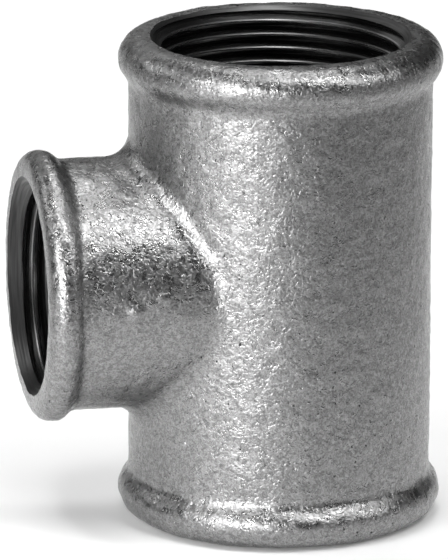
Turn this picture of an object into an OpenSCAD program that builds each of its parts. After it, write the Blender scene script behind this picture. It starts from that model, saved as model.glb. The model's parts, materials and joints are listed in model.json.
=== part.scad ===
// Reducing tee for threaded pipe: one casting with a straight run and a smaller branch.
// Millimetres. The run stands on the Z axis with its lower end face at Z = 0.
// The branch leaves the middle of the run along -X.

/* [Run] */
// Length of the run from end face to end face
run_length = 80; // [74:0.5:110]
// Diameter over the thread crests in the two run sockets
run_thread_d = 38.95; // [36:0.05:45]
// Depth of the tapped part of each run socket, from its end face
run_socket = 20; // [16:0.5:23]
// Thickness of the run's barrel around the waterway
run_wall = 3.3; // [2.5:0.05:5]
// Width of the 45 degree countersink at each run mouth
run_countersink = 1.8; // [1:0.1:2.8]

/* [Branch] */
// Distance from the run's axis to the branch's end face
branch_reach = 42; // [39:0.5:60]
// Diameter over the thread crests in the branch socket
branch_thread_d = 30.3; // [24:0.05:33]
// Depth of the tapped part of the branch socket, from its end face
branch_socket = 17; // [14:0.5:19]
// Thickness of the branch's barrel around the waterway
branch_wall = 3.35; // [2.8:0.05:5]
// Width of the 45 degree countersink at the branch mouth
branch_countersink = 2.7; // [1:0.1:3.6]

/* [Thread and core] */
// Depth of the thread form from crest to root
thread_depth = 1.48; // [1.1:0.02:1.8]
// Gap on the radius between the thread roots and the cored waterway
core_relief = 0.5; // [0.2:0.05:1]

/* [End beads] */
// Height of the run's beads above the barrel
run_bead_proud = 1.7; // [1.2:0.05:2.6]
// Radius of the rounded section of the run's beads
run_bead_round = 3.7; // [2.8:0.1:4.2]
// Radius of the hollow that leads from a run bead into the barrel
run_bead_hollow = 2.1; // [1:0.1:3]
// Height of the branch's bead above the barrel
branch_bead_proud = 1.7; // [1.2:0.05:2.6]
// Radius of the rounded section of the branch's bead
branch_bead_round = 2.8; // [2.2:0.1:3.2]
// Radius of the hollow that leads from the branch's bead into its barrel
branch_bead_hollow = 0.9; // [0.6:0.1:2]

/* [Junction] */
// Radius of the fillet where the branch grows out of the run
junction_fillet = 4; // [2:0.25:6]

/* [Hidden] */

// Radii of the run, from the thread outwards
run_thread_r = run_thread_d / 2;
run_waterway_r = run_thread_r + thread_depth + core_relief;
run_body_r = run_waterway_r + run_wall;
run_mouth_r = run_thread_r + run_countersink;
run_bead_centre_r = run_body_r + run_bead_proud - run_bead_round;

// Radii of the branch, from the thread outwards
branch_thread_r = branch_thread_d / 2;
branch_waterway_r = branch_thread_r + thread_depth + core_relief;
branch_body_r = branch_waterway_r + branch_wall;
branch_mouth_r = branch_thread_r + branch_countersink;
branch_bead_centre_r = branch_body_r + branch_bead_proud - branch_bead_round;

// The tapped sockets open into the waterway over a 45 degree step
core_step = thread_depth + core_relief;
branch_height = run_length / 2;

// How far a blend starts below the surface that it leaves
blend_sink = 0.05;
// Depth of a blend's inner edge below the barrels
blend_anchor = 1.2;
// How far a cut runs past an end face
overrun = 1;

// Fineness of the turned forms, of their rounded sections and of the junction fillet
$fn = 90;
section_fn = 24;
fillet_stations = 72;
fillet_steps = 6;

// Section of one end bead, with its end face on the X axis and its barrel above
module bead_section(body_r, centre_r, round_r, hollow_r) {
    hollow_x = body_r + hollow_r - blend_sink;
    centre_gap = round_r + hollow_r - blend_sink;
    hollow_y = round_r + sqrt(pow(centre_gap, 2) - pow(hollow_x - centre_r, 2));
    translate([centre_r, round_r])
        circle(round_r, $fn = section_fn);
    difference() {
        polygon([[centre_r, round_r], [hollow_x, hollow_y], [centre_r, hollow_y]]);
        translate([hollow_x, hollow_y])
            circle(hollow_r, $fn = section_fn);
    }
}

// Run without its waterway: a barrel with a bead at each end
module run_blank() {
    rotate_extrude() {
        square([run_bead_centre_r, run_length]);
        translate([0, run_bead_round])
            square([run_body_r, run_length - 2 * run_bead_round]);
        bead_section(run_body_r, run_bead_centre_r, run_bead_round, run_bead_hollow);
        translate([0, run_length])
            mirror([0, 1])
                bead_section(run_body_r, run_bead_centre_r, run_bead_round, run_bead_hollow);
    }
}

// Branch without its waterway, from the run's axis out to its beaded end
module branch_blank() {
    rotate_extrude() {
        square([branch_bead_centre_r, branch_reach]);
        square([branch_body_r, branch_reach - branch_bead_round]);
        translate([0, branch_reach])
            mirror([0, 1])
                bead_section(branch_body_r, branch_bead_centre_r, branch_bead_round, branch_bead_hollow);
    }
}

// Waterway of the run with a countersunk socket at each end
module run_core() {
    rotate_extrude()
        polygon([
            [0, -overrun],
            [run_mouth_r + overrun, -overrun],
            [run_thread_r, run_countersink],
            [run_thread_r, run_socket],
            [run_waterway_r, run_socket + core_step],
            [run_waterway_r, run_length - run_socket - core_step],
            [run_thread_r, run_length - run_socket],
            [run_thread_r, run_length - run_countersink],
            [run_mouth_r + overrun, run_length + overrun],
            [0, run_length + overrun]
        ]);
}

// Waterway of the branch with its countersunk socket
module branch_core() {
    rotate_extrude()
        polygon([
            [0, 0],
            [branch_waterway_r, 0],
            [branch_waterway_r, branch_reach - branch_socket - core_step],
            [branch_thread_r, branch_reach - branch_socket],
            [branch_thread_r, branch_reach - branch_countersink],
            [branch_mouth_r + overrun, branch_reach + overrun],
            [0, branch_reach + overrun]
        ]);
}

// Turns a form built up the Z axis onto the branch's axis
module along_branch() {
    translate([0, 0, branch_height])
        rotate([0, -90, 0])
            children();
}

// The junction fillet is the path of a ball that rolls round the branch and touches both barrels.
// A station is the angle round the branch's axis, with 0 on the side and 90 on top.
ball_gap = junction_fillet - blend_sink;
function ball_centre(station) =
    let (y = (branch_body_r + ball_gap) * cos(station))
    let (z = (branch_body_r + ball_gap) * sin(station))
    [-sqrt(pow(run_body_r + ball_gap, 2) - y * y), y, z];
function towards_run(station) =
    let (centre = ball_centre(station))
    [-centre.x, -centre.y, 0] / (run_body_r + ball_gap);
function towards_branch(station) = [0, -cos(station), -sin(station)];
function between(start, end, share) =
    let (sweep = acos(start * end))
    (sin((1 - share) * sweep) * start + sin(share * sweep) * end) / sin(sweep);
function inner_edge(station) =
    let (y = (branch_body_r - blend_anchor) * cos(station))
    let (z = (branch_body_r - blend_anchor) * sin(station))
    [-sqrt(pow(run_body_r - blend_anchor, 2) - y * y), y, z];
function fillet_section(station) = [
    for (step = [0 : fillet_steps])
        ball_centre(station)
        + junction_fillet * between(towards_run(station), towards_branch(station), step / fillet_steps),
    inner_edge(station)
];

// Ring of metal in the corner between the two barrels
module junction_blend() {
    per_section = fillet_steps + 2;
    corners = [
        for (i = [0 : fillet_stations - 1])
            each fillet_section(360 * i / fillet_stations)
    ];
    function corner(i, k) = (i % fillet_stations) * per_section + k % per_section;
    triangles = [
        for (i = [0 : fillet_stations - 1], k = [0 : per_section - 1])
            each [
                [corner(i, k), corner(i + 1, k), corner(i, k + 1)],
                [corner(i, k + 1), corner(i + 1, k), corner(i + 1, k + 1)]
            ]
    ];
    translate([0, 0, branch_height])
        polyhedron(corners, triangles);
}

// The whole casting, with its three tapped sockets open to one waterway
module tee_body() {
    color([0.62, 0.63, 0.64])
        difference() {
            union() {
                run_blank();
                along_branch()
                    branch_blank();
                junction_blend();
            }
            run_core();
            along_branch()
                branch_core();
        }
}

tee_body();
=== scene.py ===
"""Galvanised reducing tee: the cast body with its tapped sockets, its finishes and a plain studio."""

import json
import logging
import math
from dataclasses import dataclass
from enum import Enum

import bpy
import numpy as np
from mathutils import Matrix, Vector


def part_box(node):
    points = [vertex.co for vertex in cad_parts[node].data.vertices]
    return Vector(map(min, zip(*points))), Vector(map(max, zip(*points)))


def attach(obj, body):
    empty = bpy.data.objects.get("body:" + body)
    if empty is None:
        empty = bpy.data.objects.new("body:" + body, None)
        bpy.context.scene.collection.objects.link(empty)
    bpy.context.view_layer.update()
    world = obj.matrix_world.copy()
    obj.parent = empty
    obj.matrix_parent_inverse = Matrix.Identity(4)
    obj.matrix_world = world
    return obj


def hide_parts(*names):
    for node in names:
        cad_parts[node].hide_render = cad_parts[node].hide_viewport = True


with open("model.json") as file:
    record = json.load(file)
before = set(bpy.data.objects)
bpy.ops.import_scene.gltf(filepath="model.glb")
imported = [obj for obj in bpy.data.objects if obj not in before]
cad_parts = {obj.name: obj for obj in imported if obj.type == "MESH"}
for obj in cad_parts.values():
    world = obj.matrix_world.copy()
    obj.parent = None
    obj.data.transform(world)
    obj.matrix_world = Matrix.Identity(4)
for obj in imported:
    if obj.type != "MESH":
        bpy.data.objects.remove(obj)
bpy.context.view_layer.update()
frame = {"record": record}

MM = 0.001
FULL_TURN = 2 * math.pi
NODE = "tee_body"
# Most of a noise pattern lies between these two values.
NOISE_LOW = 0.3
NOISE_HIGH = 0.7
# Ones in the two directions across an arm's axis, and a zero along it.
ACROSS_RUN = np.array([1.0, 1.0, 0.0])
ACROSS_BRANCH = np.array([0.0, 1.0, 1.0])
log = logging.getLogger("reducing_tee")


class Coat(Enum):
    """Surfaces of the casting, each with its place in the list of materials."""

    ZINC = 0
    RUN_MOUTH = 1
    # The branch mouth's coat is painted darker than the run mouth's, as painted shade inside the side
    # socket.
    BRANCH_MOUTH = 2
    # The crest coats are painted lighter than the grooves, as a painted highlight along each crest.
    RUN_CREST = 3
    BRANCH_CREST = 4
    # The thread coats are painted near black, as painted shade in the grooves.
    RUN_THREAD = 5
    BRANCH_THREAD = 6


class Cut(Enum):
    """Ways to combine one solid with another."""

    JOIN = "UNION"
    REMOVE = "DIFFERENCE"


def take_up(piece: bpy.types.Object) -> None:
    """Makes a piece the only selected and the active object.

    Args:
        piece: The object that the next operators act on.
    """
    bpy.ops.object.select_all(action="DESELECT")
    piece.select_set(True)
    bpy.context.view_layer.objects.active = piece


def combine(target: bpy.types.Object, tool: bpy.types.Object, cut: Cut) -> None:
    """Joins a tool to a target or cuts it away, and throws the tool away.

    Args:
        target: The solid that is changed.
        tool: The solid that is used up.
        cut: Whether the tool is added or removed.
    """
    take_up(target)
    bpy.ops.object.modifier_add(type="BOOLEAN")
    step = target.modifiers[-1]
    step.operation = cut.value
    step.solver = "EXACT"
    step.object = tool
    bpy.ops.object.modifier_apply(modifier=step.name)
    bpy.data.objects.remove(tool, do_unlink=True)


def read_points(piece: bpy.types.Object) -> np.ndarray:
    """Reads where a piece's corners are.

    Args:
        piece: The object whose mesh is read.

    Returns:
        One row of three coordinates for each corner.
    """
    flat = np.empty(len(piece.data.vertices) * 3)
    piece.data.vertices.foreach_get("co", flat)
    return flat.reshape(-1, 3)


def move_points(piece: bpy.types.Object, points: np.ndarray) -> None:
    """Moves a piece's corners.

    Args:
        piece: The object whose mesh is changed.
        points: One row of three coordinates for each corner.
    """
    piece.data.vertices.foreach_set("co", points.ravel())
    piece.data.update()


class Lathe:
    """A turning bench: half a section is drawn in the XZ plane and spun round the Z axis."""

    WELD = 0.001 * MM

    def __init__(self, name: str, r: float, z: float) -> None:
        """Starts a section at one point.

        Args:
            name: Name of the object that is turned.
            r: Distance of the first point from the axis.
            z: Height of the first point.
        """
        bpy.ops.object.select_all(action="DESELECT")
        bpy.ops.mesh.primitive_plane_add(size=MM)
        self.piece = bpy.context.object
        self.piece.name = name
        bpy.ops.object.mode_set(mode="EDIT")
        bpy.ops.mesh.select_all(action="SELECT")
        bpy.ops.mesh.merge(type="CENTER")
        bpy.ops.transform.translate(value=(r, 0, z))
        self.at = Vector((r, 0, z))

    def line_to(self, r: float, z: float) -> None:
        """Draws a straight stretch.

        Args:
            r: Distance of its end from the axis.
            z: Height of its end.
        """
        end = Vector((r, 0, z))
        bpy.ops.mesh.extrude_region_move(TRANSFORM_OT_translate={"value": end - self.at})
        self.at = end

    def arc_round(self, r: float, z: float, turn: float, steps: int) -> None:
        """Draws a round stretch.

        Args:
            r: Distance of the arc's centre from the axis.
            z: Height of the arc's centre.
            turn: Angle of the arc, positive from +X towards +Z.
            steps: Number of straight parts.
        """
        centre = Vector((r, 0, z))
        bpy.ops.mesh.spin(steps=steps, angle=turn, center=centre, axis=(0, 1, 0))
        self.at = centre + Matrix.Rotation(turn, 3, (0, -1, 0)) @ (self.at - centre)

    def spin(self, steps: int) -> bpy.types.Object:
        """Turns the section into a closed solid.

        Args:
            steps: Number of faces round the axis.

        Returns:
            The turned object.
        """
        bpy.ops.mesh.select_all(action="SELECT")
        bpy.ops.mesh.spin(steps=steps, angle=FULL_TURN, center=(0, 0, 0), axis=(0, 0, 1))
        bpy.ops.mesh.select_all(action="SELECT")
        bpy.ops.mesh.remove_doubles(threshold=self.WELD)
        bpy.ops.mesh.normals_make_consistent(inside=False)
        bpy.ops.object.mode_set(mode="OBJECT")
        return self.piece


@dataclass
class Barrel:
    """One arm of the casting, with the rounded bead that stiffens its end."""

    name: str
    length: float
    body_r: float
    bead_proud: float
    bead_round: float
    hollow: float
    faces_round: int = 160
    bead_steps: int = 14
    hollow_steps: int = 5

    @property
    def bead_r(self) -> float:
        """Distance of the centre of the bead's section from the axis."""
        return self.body_r + self.bead_proud - self.bead_round

    @property
    def flank(self) -> float:
        """Angle at which the bead runs into its hollow."""
        return math.acos((self.body_r + self.hollow - self.bead_r) / (self.bead_round + self.hollow))

    @property
    def hollow_height(self) -> float:
        """Distance of the hollow's centre from the end face."""
        return self.bead_round + (self.bead_round + self.hollow) * math.sin(self.flank)

    def draw_bead_up(self, lathe: Lathe) -> None:
        """Draws a bead from an end face at height 0 up to the barrel.

        Args:
            lathe: The bench, with its section at the end face.
        """
        lathe.line_to(self.bead_r, 0)
        lathe.arc_round(self.bead_r, self.bead_round, math.pi / 2 + self.flank, self.bead_steps)
        lathe.arc_round(self.body_r + self.hollow, self.hollow_height, -self.flank, self.hollow_steps)

    def draw_bead_down(self, lathe: Lathe) -> None:
        """Draws a bead from the barrel up to the end face at full height.

        Args:
            lathe: The bench, with its section on the barrel.
        """
        lathe.line_to(self.body_r, self.length - self.hollow_height)
        lathe.arc_round(
            self.body_r + self.hollow, self.length - self.hollow_height, -self.flank, self.hollow_steps
        )
        lathe.arc_round(
            self.bead_r, self.length - self.bead_round, math.pi / 2 + self.flank, self.bead_steps
        )

    def blank(self, lower_bead: bool) -> bpy.types.Object:
        """Turns the arm as a solid plug.

        Args:
            lower_bead: Whether the arm has a bead at height 0 as well as at its full height.

        Returns:
            The turned plug, up the Z axis.
        """
        lathe = Lathe(self.name, 0, 0)
        if lower_bead:
            self.draw_bead_up(lathe)
        else:
            lathe.line_to(self.body_r, 0)
        self.draw_bead_down(lathe)
        lathe.line_to(0, self.length)
        return lathe.spin(self.faces_round)


@dataclass
class Thread:
    """The form of a parallel pipe thread, cut from its crests outwards."""

    pitch: float = 2.309 * MM
    depth: float = 1.48 * MM
    crest_flat: float = 0.22 * MM
    crest_bevel: float = 0.19 * MM
    root_flat: float = 0.36 * MM
    inside: float = 0.5 * MM
    steps_per_turn: int = 96

    def section(self, crest_r: float) -> list[tuple[float, float]]:
        """Outlines the groove that one turn of the tap cuts.

        Args:
            crest_r: Radius of the thread's crests.

        Returns:
            Corners as distance from the axis and place along it, in order round the outline.
        """
        mouth = (self.pitch - self.crest_flat) / 2
        throat = mouth - self.crest_bevel
        root = self.root_flat / 2
        half = [
            (crest_r - self.inside, mouth),
            (crest_r, mouth),
            (crest_r + self.crest_bevel, throat),
            (crest_r + self.depth - self.crest_bevel, root + self.crest_bevel / 2),
            (crest_r + self.depth, root / 2),
        ]
        return half + [(r, -s) for r, s in reversed(half)]

    def tap(
        self, name: str, crest_r: float, start: float, turns: int, crest: Coat, flank: Coat
    ) -> bpy.types.Object:
        """Winds the groove's section into a closed helical ridge round the Z axis.

        Args:
            name: Name of the ridge.
            crest_r: Radius of the thread's crests.
            start: Height of the first turn.
            turns: Number of turns, upwards.
            crest: Finish of the bevels beside the crests, painted light as a highlight.
            flank: Finish of the groove, painted dark as the shade deep in the socket.

        Returns:
            The ridge, right-handed.
        """
        corners = self.section(crest_r)
        bpy.ops.object.select_all(action="DESELECT")
        bpy.ops.mesh.primitive_circle_add(vertices=len(corners), radius=crest_r)
        ridge = bpy.context.object
        ridge.name = name
        for corner, (r, s) in zip(ridge.data.vertices, corners):
            corner.co = (r, 0, start + s)
        bpy.ops.object.modifier_add(type="SCREW")
        winding = ridge.modifiers[-1]
        winding.axis = "Z"
        winding.angle = FULL_TURN
        winding.screw_offset = self.pitch
        winding.iterations = turns
        winding.steps = self.steps_per_turn
        winding.render_steps = self.steps_per_turn
        bpy.ops.object.modifier_apply(modifier=winding.name)
        bpy.ops.object.mode_set(mode="EDIT")
        bpy.ops.mesh.select_all(action="DESELECT")
        bpy.ops.mesh.select_mode(type="EDGE")
        bpy.ops.mesh.select_non_manifold()
        bpy.ops.mesh.fill_holes(sides=0)
        bpy.ops.mesh.select_all(action="SELECT")
        bpy.ops.mesh.normals_make_consistent(inside=False)
        bpy.ops.mesh.select_mode(type="VERT")
        bpy.ops.object.mode_set(mode="OBJECT")
        # The groove's faces take a coat painted dark as shade, the crest bevels one painted light as a
        # highlight.
        for face in ridge.data.polygons:
            on_crest = face.center.xy.length < crest_r + self.crest_bevel
            face.material_index = (crest if on_crest else flank).value
        return ridge


@dataclass(frozen=True)
class Ripple:
    """Unevenness of the cast skin, of one size."""

    name: str
    size: float
    height: float

    def press(self, casting: bpy.types.Object) -> None:
        """Pushes the skin in and out.

        Args:
            casting: The casting, with an even skin.
        """
        texture = bpy.data.textures.new(self.name, type="CLOUDS")
        texture.noise_scale = self.size
        texture.noise_depth = 1
        take_up(casting)
        bpy.ops.object.modifier_add(type="DISPLACE")
        push = casting.modifiers[-1]
        push.texture = texture
        push.texture_coords = "LOCAL"
        push.strength = self.height
        push.mid_level = 0.5
        bpy.ops.object.modifier_apply(modifier=push.name)


@dataclass(frozen=True)
class Drip:
    """A small lump of zinc that set on the branch's barrel, at an angle in degrees above its front."""

    reach: float
    around: float
    radius: float
    height: float

    def lift(self, reaches: np.ndarray, arounds: np.ndarray, barrel_r: float) -> np.ndarray:
        """Works out how far the lump raises each point of the skin.

        Args:
            reaches: Distances of the points from the run's axis, along the branch.
            arounds: Angles of the points round the branch's axis.
            barrel_r: Radius of the branch's barrel.

        Returns:
            Heights above the barrel.
        """
        aside = (arounds - math.radians(self.around)) * barrel_r
        off = np.sqrt((reaches - self.reach) ** 2 + aside**2) / self.radius
        return self.height * np.clip(1 - off**2, 0, None) ** 2


@dataclass
class TeeCasting:
    """The whole tee: two beaded barrels, their soft junction, the waterway and three tapped sockets."""

    run: Barrel
    branch: Barrel
    thread: Thread
    run_crest_r: float
    branch_crest_r: float
    branch_height: float
    run_countersink: float
    branch_countersink: float
    run_socket: float
    branch_socket: float
    core_step: float
    ripples: tuple[Ripple, ...]
    drips: tuple[Drip, ...]
    run_lead: float = 0.63 * MM
    branch_lead: float = 1.41 * MM
    junction_fillet: float = 4 * MM
    fillet_rounds: int = 5
    least_span: float = 1 * MM
    least_spoke: float = 0.01 * MM
    least_steepness: float = 0.25
    overrun: float = 1 * MM
    cutter_faces: int = 160
    mesh_size: float = 0.62 * MM
    quick_mesh_size: float = 1.1 * MM
    weld: float = 0.002 * MM
    sharp_angle: float = 34

    def on_branch(self, tool: bpy.types.Object) -> bpy.types.Object:
        """Lays a tool that stands on the Z axis onto the branch's axis.

        Args:
            tool: The upright tool.

        Returns:
            The same tool, with its place in its mesh.
        """
        take_up(tool)
        tool.rotation_euler = (0, -math.pi / 2, 0)
        tool.location = (0, 0, self.branch_height)
        bpy.ops.object.transform_apply(location=True, rotation=True, scale=True)
        return tool

    def blank(self) -> bpy.types.Object:
        """Joins the two plugs and gives them one even skin.

        Returns:
            The solid casting, before its waterway is cut.
        """
        casting = self.run.blank(lower_bead=True)
        combine(casting, self.on_branch(self.branch.blank(lower_bead=False)), Cut.JOIN)
        take_up(casting)
        bpy.ops.object.modifier_add(type="REMESH")
        skin = casting.modifiers[-1]
        skin.mode = "VOXEL"
        skin.voxel_size = self.mesh_size
        bpy.ops.object.modifier_apply(modifier=skin.name)
        return casting

    def swell_junction(self, casting: bpy.types.Object) -> None:
        """Fills the corner between the barrels out to the path of a ball that rolls along both.

        Args:
            casting: The joined plugs.
        """
        points = read_points(casting)
        for _ in range(self.fillet_rounds):
            off_run, run_out = self.off_axis(points, ACROSS_RUN, self.run.body_r)
            lifted = points - np.array([0.0, 0.0, self.branch_height])
            off_branch, branch_out = self.off_axis(lifted, ACROSS_BRANCH, self.branch.body_r)
            reach = self.junction_fillet * (1 - np.sum(run_out * branch_out, axis=1))
            near_run = np.clip(reach - off_run, 0, None)
            near_branch = np.clip(reach - off_branch, 0, None)
            span = np.sqrt(near_run**2 + near_branch**2)
            corner = (near_run > 0) & (near_branch > 0) & (points[:, 0] < 0) & (span > reach)
            pull = near_run[:, None] * run_out + near_branch[:, None] * branch_out
            pull /= np.maximum(span, self.least_span)[:, None]
            steepness = np.maximum(np.sum(pull**2, axis=1), self.least_steepness)
            points += np.where(corner, (span - reach) / steepness, 0)[:, None] * pull
        move_points(casting, points)

    def off_axis(
        self, points: np.ndarray, across: np.ndarray, radius: float
    ) -> tuple[np.ndarray, np.ndarray]:
        """Measures points against a barrel.

        Args:
            points: Places relative to a point on the barrel's axis.
            across: Ones in the two directions across the axis and a zero along it.
            radius: Radius of the barrel.

        Returns:
            Heights above the barrel's surface and directions straight out of its axis.
        """
        spokes = points * across
        lengths = np.maximum(np.linalg.norm(spokes, axis=1), self.least_spoke)
        return lengths - radius, spokes / lengths[:, None]

    def add_drips(self, casting: bpy.types.Object) -> None:
        """Sets the lumps of zinc on the front of the branch.

        Args:
            casting: The rough casting.
        """
        points = read_points(casting)
        lifted = points - np.array([0.0, 0.0, self.branch_height])
        off_branch, branch_out = self.off_axis(lifted, ACROSS_BRANCH, self.branch.body_r)
        reaches = np.where(np.abs(off_branch) < self.junction_fillet, -points[:, 0], 0)
        arounds = np.arctan2(lifted[:, 2], -lifted[:, 1])
        for drip in self.drips:
            points += drip.lift(reaches, arounds, self.branch.body_r)[:, None] * branch_out
        move_points(casting, points)

    def run_core(self) -> bpy.types.Object:
        """Turns the run's waterway, with a countersunk socket at each end.

        Returns:
            The cutter, up the Z axis.
        """
        top = self.run.length
        mouth_r = self.run_crest_r + self.run_countersink + self.overrun
        water_r = self.run_crest_r + self.core_step
        lathe = Lathe("run_core", 0, -self.overrun)
        lathe.line_to(mouth_r, -self.overrun)
        lathe.line_to(self.run_crest_r, self.run_countersink)
        lathe.line_to(self.run_crest_r, self.run_socket)
        lathe.line_to(water_r, self.run_socket + self.core_step)
        lathe.line_to(water_r, top - self.run_socket - self.core_step)
        lathe.line_to(self.run_crest_r, top - self.run_socket)
        lathe.line_to(self.run_crest_r, top - self.run_countersink)
        lathe.line_to(mouth_r, top + self.overrun)
        lathe.line_to(0, top + self.overrun)
        core = lathe.spin(self.cutter_faces)
        for face in core.data.polygons:
            depth = min(face.center.z, top - face.center.z)
            # The socket wall becomes the thread's crests, whose coat is painted light as a highlight.
            wall = Coat.RUN_CREST if depth < self.run_socket else Coat.ZINC
            face.material_index = (Coat.RUN_MOUTH if depth < self.run_countersink else wall).value
        return core

    def branch_core(self) -> bpy.types.Object:
        """Turns the branch's waterway with its countersunk socket.

        Returns:
            The cutter, on the branch's axis.
        """
        end = self.branch.length
        water_r = self.branch_crest_r + self.core_step
        lathe = Lathe("branch_core", 0, 0)
        lathe.line_to(water_r, 0)
        lathe.line_to(water_r, end - self.branch_socket - self.core_step)
        lathe.line_to(self.branch_crest_r, end - self.branch_socket)
        lathe.line_to(self.branch_crest_r, end - self.branch_countersink)
        lathe.line_to(self.branch_crest_r + self.branch_countersink + self.overrun, end + self.overrun)
        lathe.line_to(0, end + self.overrun)
        core = lathe.spin(self.cutter_faces)
        for face in core.data.polygons:
            depth = end - face.center.z
            # The socket wall becomes the thread's crests, whose coat is painted light as a highlight.
            wall = Coat.BRANCH_CREST if depth < self.branch_socket else Coat.ZINC
            # The countersink takes the branch mouth's coat, painted darker as the side socket's shade.
            face.material_index = (Coat.BRANCH_MOUTH if depth < self.branch_countersink else wall).value
        return self.on_branch(core)

    def taps(self) -> list[bpy.types.Object]:
        """Winds one tap for each socket.

        Returns:
            The taps of the upper, lower and branch sockets, in place.
        """
        pitch = self.thread.pitch
        run_turns = math.ceil((self.run_socket + self.core_step) / pitch)
        branch_turns = math.ceil((self.branch_socket + self.core_step) / pitch)
        upper_start = self.run.length + self.run_lead - run_turns * pitch
        branch_start = self.branch.length + self.branch_lead - branch_turns * pitch
        run_coats = (Coat.RUN_CREST, Coat.RUN_THREAD)
        branch_coats = (Coat.BRANCH_CREST, Coat.BRANCH_THREAD)
        upper_tap = self.thread.tap("upper_tap", self.run_crest_r, upper_start, run_turns, *run_coats)
        lower_tap = self.thread.tap("lower_tap", self.run_crest_r, -self.run_lead, run_turns, *run_coats)
        branch_tap = self.thread.tap(
            "branch_tap", self.branch_crest_r, branch_start, branch_turns, *branch_coats
        )
        return [upper_tap, lower_tap, self.on_branch(branch_tap)]

    def build(self, coats: list[bpy.types.Material]) -> bpy.types.Object:
        """Casts, cores and taps the tee.

        Args:
            coats: Materials in the order of Coat.

        Returns:
            The finished casting.
        """
        casting = self.blank()
        casting.name = "tee_casting"
        self.swell_junction(casting)
        for ripple in self.ripples:
            ripple.press(casting)
        self.add_drips(casting)
        for tool in [self.run_core(), self.branch_core(), *self.taps()]:
            for piece in (casting, tool):
                if not piece.data.materials:
                    for coat in coats:
                        piece.data.materials.append(coat)
            combine(casting, tool, Cut.REMOVE)
        take_up(casting)
        bpy.ops.object.mode_set(mode="EDIT")
        bpy.ops.mesh.select_all(action="SELECT")
        bpy.ops.mesh.remove_doubles(threshold=self.weld)
        bpy.ops.object.mode_set(mode="OBJECT")
        bpy.ops.object.shade_smooth_by_angle(angle=math.radians(self.sharp_angle))
        return casting


def make_casting() -> TeeCasting:
    """Takes the casting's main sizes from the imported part.

    Returns:
        The casting, ready to be built.
    """
    low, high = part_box(NODE)
    mounts = {mount["name"]: mount for mount in frame["record"]["mounts"]}
    run_mouth, branch_mouth = mounts["run_upper_socket"], mounts["branch_socket"]
    run_crest_r = run_mouth["dims"]["r_mm"] * MM
    branch_crest_r = branch_mouth["dims"]["r_mm"] * MM
    run_countersink = high[2] - run_mouth["pos_m"][2]
    branch_countersink = branch_mouth["pos_m"][0] - low[0]
    run_wall = 3.3 * MM
    branch_wall = 3.35 * MM
    core_relief = 0.5 * MM
    thread = Thread()
    core_step = thread.depth + core_relief
    run = Barrel(
        name="run",
        length=high[2] - low[2],
        body_r=run_crest_r + core_step + run_wall,
        bead_proud=1.7 * MM,
        bead_round=3.7 * MM,
        hollow=2.1 * MM,
    )
    branch = Barrel(
        name="branch",
        length=-low[0],
        body_r=branch_crest_r + core_step + branch_wall,
        bead_proud=1.7 * MM,
        bead_round=2.8 * MM,
        hollow=0.9 * MM,
    )
    return TeeCasting(
        run=run,
        branch=branch,
        thread=thread,
        run_crest_r=run_crest_r,
        branch_crest_r=branch_crest_r,
        branch_height=branch_mouth["pos_m"][2],
        run_countersink=run_countersink,
        branch_countersink=branch_countersink,
        run_socket=run_countersink + run_mouth["dims"]["length_mm"] * MM,
        branch_socket=branch_countersink + branch_mouth["dims"]["length_mm"] * MM,
        core_step=core_step,
        ripples=(
            Ripple("mould_waves", size=7 * MM, height=0.22 * MM),
            Ripple("sand_skin", size=1.9 * MM, height=0.24 * MM),
        ),
        drips=(
            Drip(reach=28.2 * MM, around=1, radius=1.5 * MM, height=0.45 * MM),
            Drip(reach=23.7 * MM, around=7, radius=1.4 * MM, height=0.45 * MM),
            Drip(reach=25.4 * MM, around=4, radius=1.1 * MM, height=0.3 * MM),
            Drip(reach=31.5 * MM, around=0.5, radius=1.0 * MM, height=0.3 * MM),
        ),
    )


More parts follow.
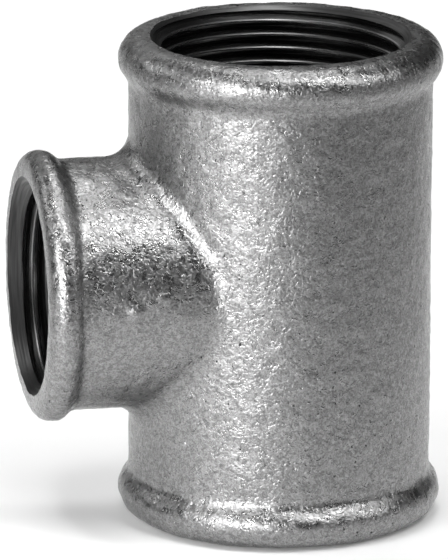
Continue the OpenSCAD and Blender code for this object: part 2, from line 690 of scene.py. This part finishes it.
class FinishBench:
    """A material under construction, with its pattern fixed to the casting."""

    def __init__(self, name: str) -> None:
        """Starts a material.

        Args:
            name: Name of the finish.
        """
        self.material = bpy.data.materials.new(name)
        self.material.use_nodes = True
        self.tree = self.material.node_tree
        self.shader = self.tree.nodes["Principled BSDF"]
        self.place = self.add("ShaderNodeTexCoord").outputs["Object"]

    def plug(self, socket: bpy.types.NodeSocket, value: object) -> None:
        """Links a socket to another one, or sets its value.

        Args:
            socket: The input that is fed.
            value: Value or socket that feeds it.
        """
        if isinstance(value, bpy.types.NodeSocket):
            self.tree.links.new(value, socket)
        else:
            socket.default_value = value

    def add(self, kind: str, feeds: dict | None = None, **settings: object) -> bpy.types.Node:
        """Adds a node.

        Args:
            kind: Type of the node.
            feeds: Values or sockets for its inputs, by name or number.
            settings: Properties of the node.

        Returns:
            The node.
        """
        node = self.tree.nodes.new(kind)
        for key, value in settings.items():
            setattr(node, key, value)
        for key, value in (feeds or {}).items():
            self.plug(node.inputs[key], value)
        return node

    def spread(self, scale: tuple[float, float, float]) -> bpy.types.NodeSocket:
        """Stretches the place that a pattern is read at.

        Args:
            scale: Factor along each axis.

        Returns:
            The stretched place.
        """
        return self.add("ShaderNodeMapping", {"Vector": self.place, "Scale": scale}).outputs["Vector"]

    def noise(
        self,
        size: float,
        detail: float = 2.0,
        twist: float = 0.0,
        place: bpy.types.NodeSocket | None = None,
    ) -> bpy.types.NodeSocket:
        """Adds a cloudy pattern.

        Args:
            size: Size of its blotches.
            detail: Number of finer layers.
            twist: How much the pattern is warped.
            place: Where it is read, instead of the casting's own place.

        Returns:
            The pattern, from 0 to 1.
        """
        feeds = {"Vector": place or self.place, "Scale": 1 / size, "Detail": detail, "Distortion": twist}
        return self.add("ShaderNodeTexNoise", feeds).outputs["Fac"]

    def remap(
        self, value: bpy.types.NodeSocket, low: float, high: float, start: float, end: float
    ) -> bpy.types.NodeSocket:
        """Stretches a stretch of a pattern softly onto another range.

        Args:
            value: The pattern.
            low: Value that becomes start.
            high: Value that becomes end.
            start: Result below low.
            end: Result above high.

        Returns:
            The stretched pattern.
        """
        feeds = {"Value": value, "From Min": low, "From Max": high, "To Min": start, "To Max": end}
        return self.add("ShaderNodeMapRange", feeds, interpolation_type="SMOOTHSTEP").outputs["Result"]

    def maths(self, operation: str, first: object, second: object) -> bpy.types.NodeSocket:
        """Combines two values.

        Args:
            operation: Name of the operation.
            first: First value or socket.
            second: Second value or socket.

        Returns:
            The result.
        """
        return self.add("ShaderNodeMath", {0: first, 1: second}, operation=operation).outputs[0]

    def blend(self, share: object, first: object, second: object) -> bpy.types.NodeSocket:
        """Mixes two colours.

        Args:
            share: Share of the second colour.
            first: First colour or socket.
            second: Second colour or socket.

        Returns:
            The mixed colour.
        """
        node = self.add("ShaderNodeMix", data_type="RGBA")
        colour_a, colour_b, mixed = node.inputs[6], node.inputs[7], node.outputs[2]
        self.plug(node.inputs["Factor"], share)
        self.plug(colour_a, first)
        self.plug(colour_b, second)
        return mixed

    def feed(self, name: str, value: object) -> None:
        """Sets or links an input of the shader.

        Args:
            name: Name of the input.
            value: Value or socket.
        """
        self.plug(self.shader.inputs[name], value)


def grey(level: float) -> tuple[float, float, float, float]:
    """Makes an opaque grey of one level."""
    return (level, level, level, 1)


@dataclass(frozen=True)
class ZincCoat:
    """Hot-dip zinc over a sand-cast skin: a bright orange peel with small dark pits."""

    light: float = 0.35
    dark: float = 0.17
    pit: float = 0.04
    peel_size: float = 1.3 * MM
    grain_size: float = 0.55 * MM
    speck_size: float = 0.22 * MM
    pit_size: float = 0.8 * MM
    pit_start: float = 0.70
    pit_full: float = 0.76
    flock_size: float = 9 * MM
    flock_start: float = 0.45
    flock_full: float = 0.6
    relief: float = 0.115 * MM
    peel_height: float = 0.6
    speck_height: float = 0.12
    pit_depth: float = 0.6
    grain_tone: float = 0.7
    speck_tone: float = 0.3
    gloss_low: float = 0.24
    gloss_high: float = 0.34

    def material(self) -> bpy.types.Material:
        """Builds the finish.

        Returns:
            The material.
        """
        bench = FinishBench("zinc_coat")
        peel = bench.noise(self.peel_size, detail=1, twist=0.8)
        grain = bench.noise(self.grain_size, detail=1, twist=1.2)
        speck = bench.noise(self.speck_size, detail=0)
        flock = bench.noise(self.flock_size, detail=1)
        hole = bench.noise(self.pit_size, detail=1)
        pit = bench.remap(hole, self.pit_start, self.pit_full, 0, 1)
        pit = bench.maths("MULTIPLY", pit, bench.remap(flock, self.flock_start, self.flock_full, 0, 1))
        height = bench.maths("MULTIPLY", peel, self.peel_height)
        height = bench.maths("ADD", height, grain)
        height = bench.maths("ADD", height, bench.maths("MULTIPLY", speck, self.speck_height))
        height = bench.maths("SUBTRACT", height, bench.maths("MULTIPLY", pit, self.pit_depth))
        bump = bench.add("ShaderNodeBump", {"Strength": 1.0, "Distance": self.relief, "Height": height})
        tone = bench.maths("MULTIPLY", grain, self.grain_tone)
        tone = bench.maths("ADD", tone, bench.maths("MULTIPLY", speck, self.speck_tone))
        tone = bench.remap(tone, NOISE_LOW, NOISE_HIGH, 0, 1)
        colour = bench.blend(tone, grey(self.dark), grey(self.light))
        bench.feed("Base Color", bench.blend(pit, colour, grey(self.pit)))
        bench.feed("Metallic", 1.0)
        bench.feed("Roughness", bench.remap(peel, NOISE_LOW, NOISE_HIGH, self.gloss_low, self.gloss_high))
        bench.feed("Normal", bump.outputs["Normal"])
        return bench.material


@dataclass(frozen=True)
class TurnedIron:
    """Bare iron with the fine rings of a turning tool, under a film of dark oil; the levels of the grooves,
    crests and branch mouth also paint shade and highlight.
    """

    name: str
    along: tuple[float, float, float]
    light: float
    dark: float
    roughness: float
    shine: float = 0.2
    smear_size: float = 9 * MM
    ring_size: float = 0.3 * MM
    relief: float = 0.012 * MM

    def material(self) -> bpy.types.Material:
        """Builds the finish.

        Returns:
            The material.
        """
        bench = FinishBench(self.name)
        across = self.ring_size / self.smear_size
        scale = tuple(part + across * (1 - part) for part in self.along)
        ring = bench.noise(self.ring_size, detail=2, place=bench.spread(scale))
        tone = bench.remap(ring, NOISE_LOW, NOISE_HIGH, 0, 1)
        bench.feed("Base Color", bench.blend(tone, grey(self.dark), grey(self.light)))
        bench.feed("Metallic", 1.0)
        dull, bright = self.roughness * (1 + self.shine), self.roughness * (1 - self.shine)
        bench.feed("Roughness", bench.remap(ring, NOISE_LOW, NOISE_HIGH, dull, bright))
        bump = bench.add("ShaderNodeBump", {"Strength": 1.0, "Distance": self.relief, "Height": ring})
        bench.feed("Normal", bump.outputs["Normal"])
        return bench.material


@dataclass(frozen=True)
class Softbox:
    """A lamp behind a grid that keeps its light together, with angles in degrees."""

    name: str
    turn: float
    rise: float
    width: float
    height: float
    power: float
    spread: float
    aim: tuple[float, float, float] = (0, 0, 0)
    distance: float = 0.7

    def place(self, middle: Vector) -> bpy.types.Object:
        """Hangs the lamp.

        Args:
            middle: Middle of the tee, which the lamp's aim is measured from.

        Returns:
            The lamp.
        """
        lamp = bpy.data.lights.new(self.name, type="AREA")
        lamp.shape = "RECTANGLE"
        lamp.size = self.width
        lamp.size_y = self.height
        lamp.energy = self.power
        lamp.spread = math.radians(self.spread)
        holder = bpy.data.objects.new(self.name, lamp)
        back = heading(self.turn, self.rise)
        holder.location = middle + Vector(self.aim) + back * self.distance
        holder.rotation_euler = back.to_track_quat("Z", "Y").to_euler()
        bpy.context.scene.collection.objects.link(holder)
        return holder


def heading(turn: float, rise: float) -> Vector:
    """Points from the tee towards a viewer.

    Args:
        turn: Degrees to the right of the -Y direction.
        rise: Degrees above the floor.

    Returns:
        The direction, one unit long.
    """
    turn, rise = math.radians(turn), math.radians(rise)
    return Vector((math.sin(turn) * math.cos(rise), -math.cos(turn) * math.cos(rise), math.sin(rise)))


@dataclass
class Studio:
    """A pale floor, soft lamps and the camera, with angles in degrees."""

    middle: Vector
    softboxes: tuple[Softbox, ...]
    turn: float = -12.3
    rise: float = 15.51
    roll: float = 0.18
    distance: float = 1187.5 * MM
    aim_right: float = -9.106 * MM
    aim_up: float = -1.247 * MM
    focal_pixels: float = 7250
    image_height: float = 560
    sensor: float = 36
    view_depth: float = 20
    floor_size: float = 20.0
    floor_drop: float = 0.12 * MM
    floor_tone: float = 0.8
    floor_roughness: float = 0.9
    floor_glow: float = 0.06
    far_glow: float = 0.8
    glow_start: float = 0.3
    glow_end: float = 0.9
    room_tone: float = 0.05

    def lay_floor(self) -> bpy.types.Object:
        """Lays the floor, which is lit near the tee and white by itself farther off.

        Returns:
            The floor.
        """
        bpy.ops.object.select_all(action="DESELECT")
        bpy.ops.mesh.primitive_plane_add(size=self.floor_size, location=(0, 0, -self.floor_drop))
        floor = bpy.context.object
        floor.name = "floor"
        bench = FinishBench("pale_floor")
        bench.feed("Base Color", grey(self.floor_tone))
        bench.feed("Roughness", self.floor_roughness)
        bench.feed("Emission Color", grey(1))
        path = bench.add("ShaderNodeLightPath").outputs
        seen = bench.maths("MAXIMUM", path["Is Camera Ray"], path["Is Glossy Ray"])
        seen = bench.maths("MAXIMUM", seen, path["Is Transmission Ray"])
        far = bench.add("ShaderNodeVectorMath", {0: bench.place}, operation="LENGTH").outputs["Value"]
        glow = bench.remap(far, self.glow_start, self.glow_end, self.floor_glow, self.far_glow)
        bench.feed("Emission Strength", bench.maths("MULTIPLY", seen, glow))
        floor.data.materials.append(bench.material)
        return floor

    def paint_room(self) -> None:
        """Gives the room around the floor one even grey."""
        world = bpy.data.worlds.new("room")
        bpy.context.scene.world = world
        world.use_nodes = True
        world.node_tree.nodes["Background"].inputs["Color"].default_value = grey(self.room_tone)

    def set_camera(self) -> bpy.types.Object:
        """Sets the camera at the photograph's angle.

        Returns:
            The camera.
        """
        back = heading(self.turn, self.rise)
        right = Vector((0, 0, 1)).cross(back).normalized()
        up = back.cross(right)
        tilt = Matrix.Rotation(math.radians(self.roll), 3, back)
        lens = bpy.data.cameras.new("camera")
        lens.sensor_fit = "VERTICAL"
        lens.sensor_height = self.sensor
        lens.lens = self.focal_pixels / self.image_height * self.sensor
        lens.clip_end = self.view_depth
        camera = bpy.data.objects.new("camera", lens)
        right, up = tilt @ right, tilt @ up
        aim = self.middle + right * self.aim_right + up * self.aim_up
        axes = Matrix((right, up, back)).transposed().to_4x4()
        camera.matrix_world = Matrix.Translation(aim + back * self.distance) @ axes
        bpy.context.scene.collection.objects.link(camera)
        bpy.context.scene.camera = camera
        return camera

    def build(self) -> None:
        """Sets up the whole studio."""
        self.lay_floor()
        self.paint_room()
        for softbox in self.softboxes:
            softbox.place(self.middle)
        self.set_camera()
        bpy.context.scene.view_settings.view_transform = "Standard"


def finishes() -> list[bpy.types.Material]:
    """Builds the casting's materials.

    Returns:
        The materials, in the order of Coat.
    """
    up, along = (0, 0, 1), (1, 0, 0)
    coats = {
        Coat.ZINC: ZincCoat(),
        Coat.RUN_MOUTH: TurnedIron("run_mouth", up, light=0.12, dark=0.05, roughness=0.42),
        # The branch mouth is painted at half the run mouth's tone, as painted shade inside the side socket.
        Coat.BRANCH_MOUTH: TurnedIron("branch_mouth", along, light=0.06, dark=0.03, roughness=0.42),
        # The crests are painted about three times lighter than the grooves, as a painted highlight along
        # each crest.
        Coat.RUN_CREST: TurnedIron("run_crest", up, light=0.32, dark=0.16, roughness=0.3),
        Coat.BRANCH_CREST: TurnedIron("branch_crest", along, light=0.32, dark=0.16, roughness=0.3),
        # The grooves are painted near black, as painted shade deep in each socket's thread.
        Coat.RUN_THREAD: TurnedIron("run_thread", up, light=0.10, dark=0.03, roughness=0.28),
        Coat.BRANCH_THREAD: TurnedIron("branch_thread", along, light=0.10, dark=0.03, roughness=0.28),
    }
    return [coats[coat].material() for coat in Coat]


def studio(middle: Vector) -> Studio:
    """Sets out the lamps.

    Args:
        middle: Point that the lamps face and the camera looks past.

    Returns:
        The studio, ready to be built.
    """
    behind = (0.07, 0.32, -middle.z)
    beside = (-0.226, -0.147, -middle.z)
    return Studio(
        middle=middle,
        softboxes=(
            Softbox("key_lamp", turn=-41, rise=9, width=0.58, height=0.28, power=0.61, spread=55),
            Softbox("left_lamp", turn=-62, rise=30, width=0.28, height=0.28, power=0.08, spread=34),
            Softbox("front_lamp", turn=34, rise=56, width=0.3, height=0.3, power=0.118, spread=30),
            Softbox("top_lamp", turn=0, rise=78, width=0.3, height=0.3, power=0.05, spread=30),
            Softbox("right_lamp", turn=62, rise=30, width=0.28, height=0.28, power=0.056, spread=30),
            Softbox("left_rim_lamp", turn=-120, rise=30, width=0.28, height=0.28, power=0.045, spread=34),
            Softbox("back_rim_lamp", turn=190, rise=30, width=0.5, height=0.28, power=0.26, spread=180),
            # These two light the floor behind the tee, and where the front of the run mirrors it.
            Softbox(
                "backdrop_lamp", turn=168, rise=80, width=0.5, height=0.5, power=0.94, spread=55, aim=behind
            ),
            Softbox(
                "floor_lamp", turn=-57, rise=80, width=0.3, height=0.3, power=0.55, spread=30, aim=beside
            ),
        ),
    )


def main() -> None:
    """Builds the tee and the studio in order."""
    logging.basicConfig(level=logging.INFO, format="%(message)s")
    casting = make_casting()
    body = casting.build(finishes())
    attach(body, "root")
    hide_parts(NODE)
    log.info("%s: %d faces", body.name, len(body.data.polygons))
    studio(Vector((0, 0, casting.branch_height))).build()


if __name__ == "__main__":
    main()
